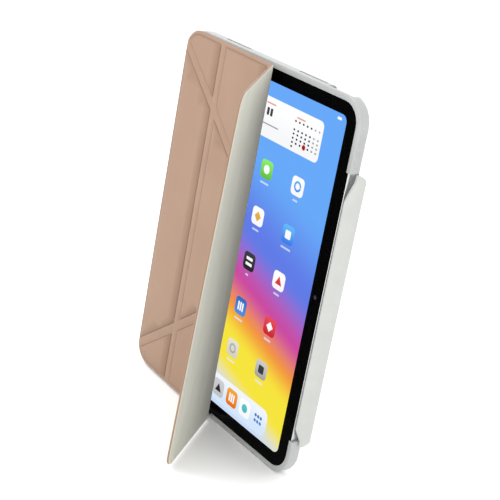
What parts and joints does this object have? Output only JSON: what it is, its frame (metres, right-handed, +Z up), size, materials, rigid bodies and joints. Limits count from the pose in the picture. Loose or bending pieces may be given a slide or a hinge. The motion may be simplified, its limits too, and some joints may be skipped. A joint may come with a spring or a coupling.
{
  "type": "tablet computer in a folio case",
  "caption": "Upright tablet computer in a frosted clear shell, with a creased folding cover standing ajar, a hinged pencil flap and sprung side buttons.",
  "frame": {"origin": "middle of the underside of the whole object's box, on the surface it stands on", "axes": "+Z up along the tablet's long side; the screen faces -Y; +X to the right seen from the front"},
  "size_m": [0.1892, 0.0784, 0.2519],
  "materials": {
    "anodised_aluminium": "fine bead-blasted, anodised silver",
    "camera_ring": "polished",
    "cover_glass": "polished glass with a black border",
    "display": "lit screen, smooth",
    "black_plastic": "matt moulded",
    "diffuser": "matt white film stack",
    "camera_lens": "coated lens glass",
    "battery_wrap": "matt foil",
    "circuit_board": "lacquered",
    "steel": "rolled and stamped",
    "flex_film": "amber polyimide film",
    "magnet": "nickel plated",
    "frosted_clear_soft": "frosted translucent, satin",
    "frosted_clear_hard": "frosted translucent, smooth",
    "milky_soft": "milky translucent, satin",
    "rose_skin": "fine-grained coated fabric, rose gold with a satin sheen",
    "stiffener": "fibre board",
    "microfibre": "brushed microfibre, grey"
  },
  "bodies": {
    "tablet_and_shell": {"accessory_contacts": "steel", "back_strip": "rose_skin", "backlight": "diffuser", "battery_left": "battery_wrap", "battery_right": "battery_wrap", "board_screw_1": "steel", "board_screw_2": "steel", "board_screw_3": "steel", "board_screw_4": "steel", "button_flex_cable": "flex_film", "camera_ring": "camera_ring", "display_frame": "black_plastic", "display_panel": "display", "front_camera": "camera_lens", "front_glass": "cover_glass", "housing": "anodised_aluminium", "light_sensor": "camera_lens", "logic_board": "circuit_board", "memory_shield": "steel", "port_flex_cable": "flex_film", "processor_shield": "steel", "rear_camera": "camera_lens", "shell_back_panel": "frosted_clear_hard", "shell_bumper": "frosted_clear_soft", "side_magnet": "magnet", "speaker_bottom_left": "black_plastic", "speaker_bottom_right": "black_plastic", "speaker_top_left": "black_plastic", "speaker_top_right": "black_plastic", "usb_c_port": "steel"},
    "spine": {"spine_skin": "rose_skin", "spine_board": "stiffener", "spine_lining": "microfibre"},
    "cover_inner": {"inner_board_bottom": "stiffener", "inner_board_middle": "stiffener", "inner_board_top": "stiffener", "inner_lining": "microfibre", "inner_skin": "rose_skin"},
    "cover_middle": {"middle_board_bottom": "stiffener", "middle_board_middle": "stiffener", "middle_board_top": "stiffener", "middle_lining": "microfibre", "middle_skin": "rose_skin"},
    "cover_flap": {"cover_magnet_lower": "magnet", "cover_magnet_upper": "magnet", "flap_board_centre": "stiffener", "flap_board_outer": "stiffener", "flap_lining": "microfibre", "flap_skin": "rose_skin"},
    "pencil_holder": {"pencil_flap": "milky_soft"},
    "power_key": {"power_button": "anodised_aluminium"},
    "volume_up_key": {"volume_up_button": "anodised_aluminium", "volume_up_pad": "frosted_clear_soft"},
    "volume_down_key": {"volume_down_button": "anodised_aluminium", "volume_down_pad": "frosted_clear_soft"}
  },
  "joints": [
    {"name": "spine_hinge", "type": "hinge", "parent": "tablet_and_shell", "child": "spine", "pos_m": [-0.09456, 0.03796, 0.12595], "axis": [0, 0, 1], "range_deg": [-265, 0]},
    {"name": "cover_hinge", "type": "hinge", "parent": "spine", "child": "cover_inner", "pos_m": [-0.09456, 0.02557, 0.12595], "axis": [0, 0, 1], "range_deg": [-90, 2.2]},
    {"name": "crease_hinge", "type": "hinge", "parent": "cover_inner", "child": "cover_middle", "pos_m": [-0.04809, 0.02375, 0.12595], "axis": [0, 0, -1], "range_deg": [0, 110]},
    {"name": "fold_hinge", "type": "hinge", "parent": "cover_middle", "child": "cover_flap", "pos_m": [0.00626, 0.02162, 0.12595], "axis": [0, 0, -1], "range_deg": [-47.4, 70]},
    {"name": "pencil_flap_hinge", "type": "hinge", "parent": "tablet_and_shell", "child": "pencil_holder", "pos_m": [0.09174, 0.03762, 0.12595], "axis": [0, 0, 1], "range_deg": [0, 110]},
    {"name": "power_key_travel", "type": "slide", "parent": "tablet_and_shell", "child": "power_key", "axis": [0, 0, -1], "range_m": [0, 0.00035], "stiffness_N_per_m": 3000, "springref_m": -0.0003},
    {"name": "volume_up_travel", "type": "slide", "parent": "tablet_and_shell", "child": "volume_up_key", "axis": [-1, 0, 0], "range_m": [0, 0.00035], "stiffness_N_per_m": 3000, "springref_m": -0.0003},
    {"name": "volume_down_travel", "type": "slide", "parent": "tablet_and_shell", "child": "volume_down_key", "axis": [-1, 0, 0], "range_m": [0, 0.00035], "stiffness_N_per_m": 3000, "springref_m": -0.0003}
  ]
}
